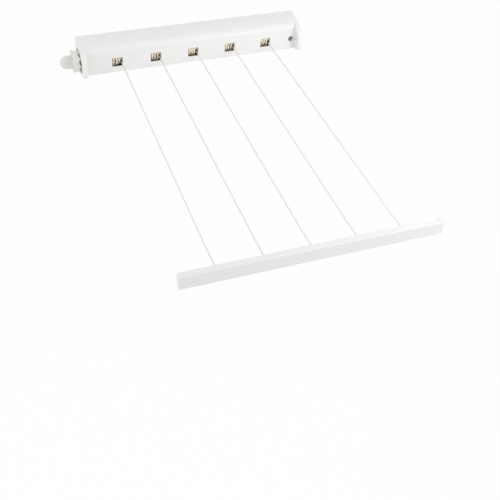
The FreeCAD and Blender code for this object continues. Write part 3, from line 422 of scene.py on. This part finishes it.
def moulded(name, colour, grain=1800.0, roughness=0.38, inner=None):
    """A plastic of one colour with the moulded surface's grain. With inner, (X, colour), it turns
    to that colour beyond that place along X."""
    material, tree, principled = shader(name)
    surface = give(tree, "ShaderNodeGroup", node_tree=moulded_surface)
    surface.inputs["Colour"].default_value = (*colour, 1)
    surface.inputs["Shade"].default_value = UNEVENNESS
    surface.inputs["Grain scale"].default_value = grain
    surface.inputs["Roughness"].default_value = roughness
    if inner:
        inner_place, inner_colour = inner
        place = give(tree, "ShaderNodeTexCoord")
        part = give(tree, "ShaderNodeSeparateXYZ")
        beyond = give(tree, "ShaderNodeMath", operation="GREATER_THAN")
        beyond.inputs[1].default_value = inner_place
        mix = give(tree, "ShaderNodeMix", data_type="RGBA")
        mix.inputs[MIX_FIRST].default_value = (*colour, 1)
        mix.inputs[MIX_SECOND].default_value = (*inner_colour, 1)
        tree.links.new(place.outputs["Object"], part.inputs[0])
        tree.links.new(part.outputs["X"], beyond.inputs[0])
        tree.links.new(beyond.outputs[0], mix.inputs[MIX_SHARE])
        tree.links.new(mix.outputs[MIX_RESULT], surface.inputs["Colour"])
    bump = give(tree, "ShaderNodeBump", Strength=0.5, Distance=GRAIN_DEPTH)
    tree.links.new(surface.outputs["Colour"], principled.inputs["Base Color"])
    tree.links.new(surface.outputs["Roughness"], principled.inputs["Roughness"])
    tree.links.new(surface.outputs["Height"], bump.inputs["Height"])
    tree.links.new(bump.outputs["Normal"], principled.inputs["Normal"])
    return material


cover(nodes["body_shell"], moulded("housing_white", (0.805, 0.805, 0.795)))

# ---- End caps ----
# Two off-white mouldings that plug the housing's ends and are screwed to it from below. Their
# cheeks stand in front of it to cradle the bar. Their grain is coarser than the housing's.

cap_white = moulded("cap_white", (0.80, 0.80, 0.785), grain=1400.0)
cover(nodes["left_end_cap"], cap_white)
cover(nodes["right_end_cap"], cap_white)

# ---- Pull bar ----
# A white plastic channel with a small cap in each end, its grain finer than the housing's. The
# lines come in through its rear wall and are knotted behind it.

bar_white = moulded("bar_white", (0.80, 0.80, 0.79), grain=2200.0, roughness=0.34)
for node in ("pull_bar", "bar_end_cap_left", "bar_end_cap_right"):
    cover(nodes[node], bar_white)
cover(nodes["line_knots"], line_skin)

# ---- Winding knob and ratchet ring ----
# The knob is one piece, grey at its wing and flange and cream at its toothed hub. The cream ring
# that it locks into is keyed into the left cap's dish. A steel pin holds the knob on the drum.

HUB_LENGTH = 10.5 * MM  # from the tips of the knob's teeth to just past the back of its flange

knob_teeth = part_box("winding_knob")[1].x
knob_grey = moulded("knob_grey", (0.74, 0.73, 0.715), grain=1300.0, roughness=0.42,
                    inner=(knob_teeth - HUB_LENGTH, (0.85, 0.84, 0.80)))
collar_cream = moulded("collar_cream", (0.84, 0.82, 0.76), grain=1500.0, roughness=0.45)
cover(nodes["winding_knob"], knob_grey)
cover(nodes["ratchet_ring"], collar_cream)


def zinc_steel_material():
    """Bright zinc plating, a little cloudy."""
    material, tree, principled = shader("zinc_steel", roughness=0.33, Metallic=1.0)
    place = give(tree, "ShaderNodeTexCoord")
    plating = give(tree, "ShaderNodeTexNoise", Scale=700.0, Detail=3.0)
    tint = give_ramp(tree, (0, (0.50, 0.50, 0.52)), (1, (0.66, 0.66, 0.69)))
    tree.links.new(place.outputs["Object"], plating.inputs["Vector"])
    tree.links.new(plating.outputs["Fac"], tint.inputs["Fac"])
    tree.links.new(tint.outputs["Color"], principled.inputs["Base Color"])
    return material


zinc_steel = zinc_steel_material()
cover(nodes["knob_pin"], zinc_steel)

# ---- Drum ----
# Five brown spools on a steel shaft with flats, which turn together. At each end of the shaft a
# pale plug turns in a pale bush.

spool_brown = moulded("spool_brown", (0.36, 0.26, 0.15), roughness=0.45)
for number in range(1, 6):
    cover(nodes[f"line_spool_{number}"], spool_brown)
cover(nodes["drum_shaft"], zinc_steel)
bush_white = moulded("bush_white", (0.86, 0.84, 0.78), roughness=0.35)
for node in ("left_drum_plug", "right_drum_plug", "left_bush", "right_bush"):
    cover(nodes[node], bush_white)

# ---- Wall bracket, bearing plate and screws ----
# The grey bracket is screwed to the wall, and the housing hangs on it. A grey plate inside holds
# the right bush. Plated screws fix the caps from below and lock the housing to its bracket.

bracket_grey = moulded("bracket_grey", (0.46, 0.46, 0.455))
cover(nodes["wall_bracket"], bracket_grey)
cover(nodes["right_bearing_plate"], bracket_grey)
cover(nodes["cap_screws"], zinc_steel)
cover(nodes["locking_screw"], zinc_steel)

# ---- Floor, light and background ----
# A plain pale floor far below the dryer, and a soft even light from all round. Three soft lamps
# add to it: one from the right front, a weak one near the right cap and a wide one from the left.

FLOOR_Z = -0.95
FLOOR_REACH = 6
FLOOR_WHITE_SHARE = 0.93  # how much plain white lies over the floor and its shadow, as it is seen
WORLD_LEVEL = 0.86


def backdrop_rays(tree, *kinds):
    """1 for a ray of one of these kinds, which sees the plain backdrop, and 0 for the others."""
    rays = give(tree, "ShaderNodeLightPath").outputs
    found = rays[kinds[0]]
    for kind in kinds[1:]:
        larger = give(tree, "ShaderNodeMath", operation="MAXIMUM")
        tree.links.new(found, larger.inputs[0])
        tree.links.new(rays[kind], larger.inputs[1])
        found = larger.outputs[0]
    return found


def floor_paint_material():
    """Pale matt paint that is seen, directly or mirrored, as nearly plain white."""
    material, tree, principled = shader("floor_paint", roughness=0.8)
    principled.inputs["Base Color"].default_value = (0.94, 0.94, 0.94, 1)
    white = give(tree, "ShaderNodeEmission", Strength=1.0)
    mix = give(tree, "ShaderNodeMixShader")
    share = give(tree, "ShaderNodeMath", operation="MULTIPLY")
    share.inputs[1].default_value = FLOOR_WHITE_SHARE
    tree.links.new(backdrop_rays(tree, "Is Camera Ray", "Is Glossy Ray"), share.inputs[0])
    tree.links.new(share.outputs[0], mix.inputs["Fac"])
    tree.links.new(principled.outputs[0], mix.inputs[1])
    tree.links.new(white.outputs[0], mix.inputs[2])
    tree.links.new(mix.outputs[0], tree.nodes["Material Output"].inputs["Surface"])
    return material


floor_corners = [(-FLOOR_REACH, -FLOOR_REACH, FLOOR_Z), (FLOOR_REACH, -FLOOR_REACH, FLOOR_Z),
                 (FLOOR_REACH, FLOOR_REACH, FLOOR_Z), (-FLOOR_REACH, FLOOR_REACH, FLOOR_Z)]
floor_mesh = bpy.data.meshes.new("floor")
floor_mesh.from_pydata(floor_corners, [], [(0, 1, 2, 3)])
floor = bpy.data.objects.new("floor", floor_mesh)
bpy.context.scene.collection.objects.link(floor)
cover(floor, floor_paint_material())

world = bpy.data.worlds.new("studio")
bpy.context.scene.world = world
world.use_nodes = True
tree = world.node_tree
background = tree.nodes["Background"]
background.inputs["Color"].default_value = (1, 1, 1, 1)
strength = give(tree, "ShaderNodeMapRange", To_Min=WORLD_LEVEL, To_Max=1.0)
direct = backdrop_rays(tree, "Is Camera Ray", "Is Glossy Ray", "Is Transmission Ray")
tree.links.new(direct, strength.inputs["Value"])
tree.links.new(strength.outputs[0], background.inputs["Strength"])


def soft_lamp(name, place, target, size, power):
    """A square area lamp that points at its target and isn't seen itself."""
    lamp = bpy.data.objects.new(name, bpy.data.lights.new(name, "AREA"))
    lamp.data.size = size
    lamp.data.energy = power
    lamp.location = place
    lamp.visible_camera = False
    lamp.rotation_euler = (Vector(target) - Vector(place)).to_track_quat("-Z", "Y").to_euler()
    bpy.context.scene.collection.objects.link(lamp)


soft_lamp("key_lamp", place=(0.55, -0.9, 0.35), target=(0.1, -0.35, 0), size=0.4, power=1.75)
soft_lamp("near_lamp", place=(0.3, -0.5, 0.15), target=(0.1, -0.04, 0), size=0.3, power=0.3)
soft_lamp("side_lamp", place=(-1.5, -0.4, 0.5), target=(0, -0.2, 0), size=1.0, power=4)

bpy.context.scene.view_settings.view_transform = "Standard"
